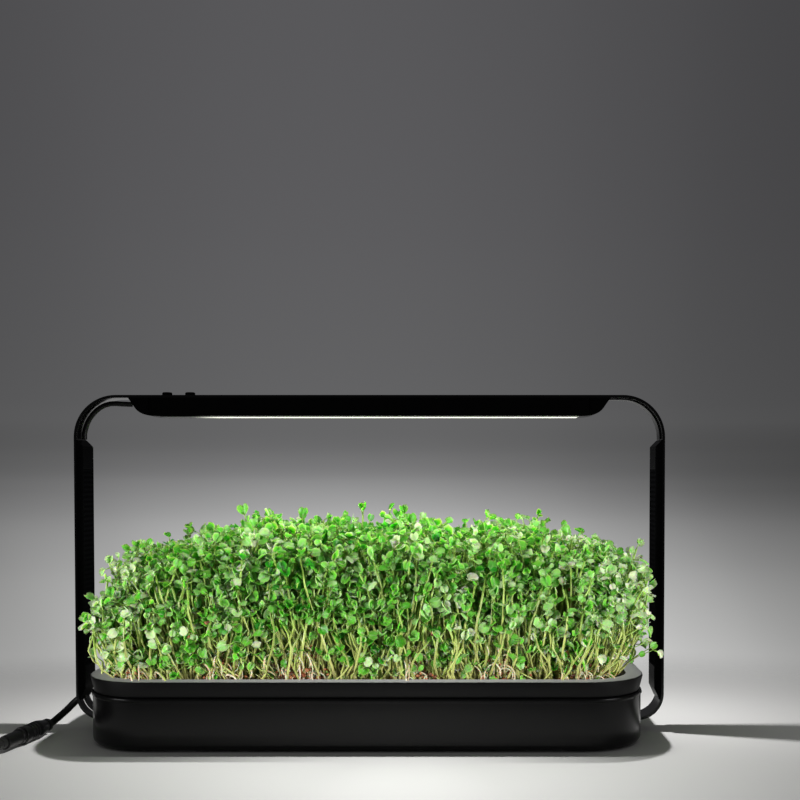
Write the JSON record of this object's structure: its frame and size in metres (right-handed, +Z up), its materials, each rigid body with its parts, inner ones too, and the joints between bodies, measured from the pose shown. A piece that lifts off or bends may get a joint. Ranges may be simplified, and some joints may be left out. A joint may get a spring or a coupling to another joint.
{
  "type": "hydroponic starter kit",
  "caption": "Tabletop growing kit: a black water bowl with a seed tray of sprouts under a bent steel strip that carries a light bar above and one at each side.",
  "frame": {"origin": "on the floor under the middle of the bowl", "axes": "+X along the bowl to the right as the picture shows it, +Y to the back, +Z up"},
  "size_m": [0.562, 0.1876, 0.2426],
  "materials": {
    "painted_steel": "gloss black powder coat",
    "bar_black": "satin black",
    "opal": "frosted opal",
    "board": "solder mask",
    "ceramic": "matte black glaze",
    "tray": "matte charcoal",
    "felt": "damp fibre",
    "crop": "living leaves and stems",
    "rubber": "matte",
    "cable": "satin",
    "steel": "bright",
    "switch": "matte",
    "plunger": "matte",
    "adapter": "fine texture"
  },
  "bodies": {
    "frame": {"frame_strip": "painted_steel", "foot_left": "rubber", "foot_right": "rubber", "foot_screw_left": "steel", "foot_screw_right": "steel", "top_housing": "bar_black", "top_end_cap_left": "bar_black", "top_end_cap_right": "bar_black", "top_diffuser": "opal", "top_led_board": "board", "top_screw_left": "steel", "top_screw_right": "steel", "control_board": "board", "power_switch": "switch", "timer_switch": "switch", "link_cable_left": "cable", "link_ribbon_right": "cable", "dc_lead": "cable", "dc_socket": "cable", "dc_plug": "cable", "plug_relief": "rubber", "adapter_lead": "cable", "adapter_coil": "cable", "coil_tie": "rubber", "adapter_tail": "cable", "adapter_relief": "rubber", "adapter_body": "adapter", "adapter_cover": "adapter", "adapter_pin_1": "steel", "adapter_pin_2": "steel", "left_housing": "bar_black", "left_end_cap_low": "bar_black", "left_end_cap_high": "bar_black", "left_diffuser": "opal", "left_led_board": "board", "left_screw_low": "steel", "left_screw_high": "steel", "right_housing": "bar_black", "right_end_cap_low": "bar_black", "right_end_cap_high": "bar_black", "right_diffuser": "opal", "right_led_board": "board", "right_screw_low": "steel", "right_screw_high": "steel"},
    "bowl": {"bowl": "ceramic", "bowl_pad_front_left": "rubber", "bowl_pad_front_right": "rubber", "bowl_pad_back_left": "rubber", "bowl_pad_back_right": "rubber"},
    "tray": {"seed_tray": "tray", "grow_pad": "felt", "sprouts": "crop"},
    "power_key": {"power_button": "bar_black", "power_plunger": "plunger"},
    "timer_key": {"timer_button": "bar_black", "timer_plunger": "plunger"}
  },
  "joints": [
    {"name": "bowl_lift", "type": "slide", "parent": "frame", "child": "bowl", "axis": [0, 0, 1], "range_m": [0, 0.012]},
    {"name": "tray_lift", "type": "slide", "parent": "bowl", "child": "tray", "axis": [0, 0, 1], "range_m": [0, 0.045]},
    {"name": "power_press", "type": "slide", "parent": "frame", "child": "power_key", "axis": [0, 0, -1], "range_m": [0, 0.0008], "stiffness_N_per_m": 600, "springref_m": -0.0008},
    {"name": "timer_press", "type": "slide", "parent": "frame", "child": "timer_key", "axis": [0, 0, -1], "range_m": [0, 0.0008], "stiffness_N_per_m": 600, "springref_m": -0.0008}
  ]
}
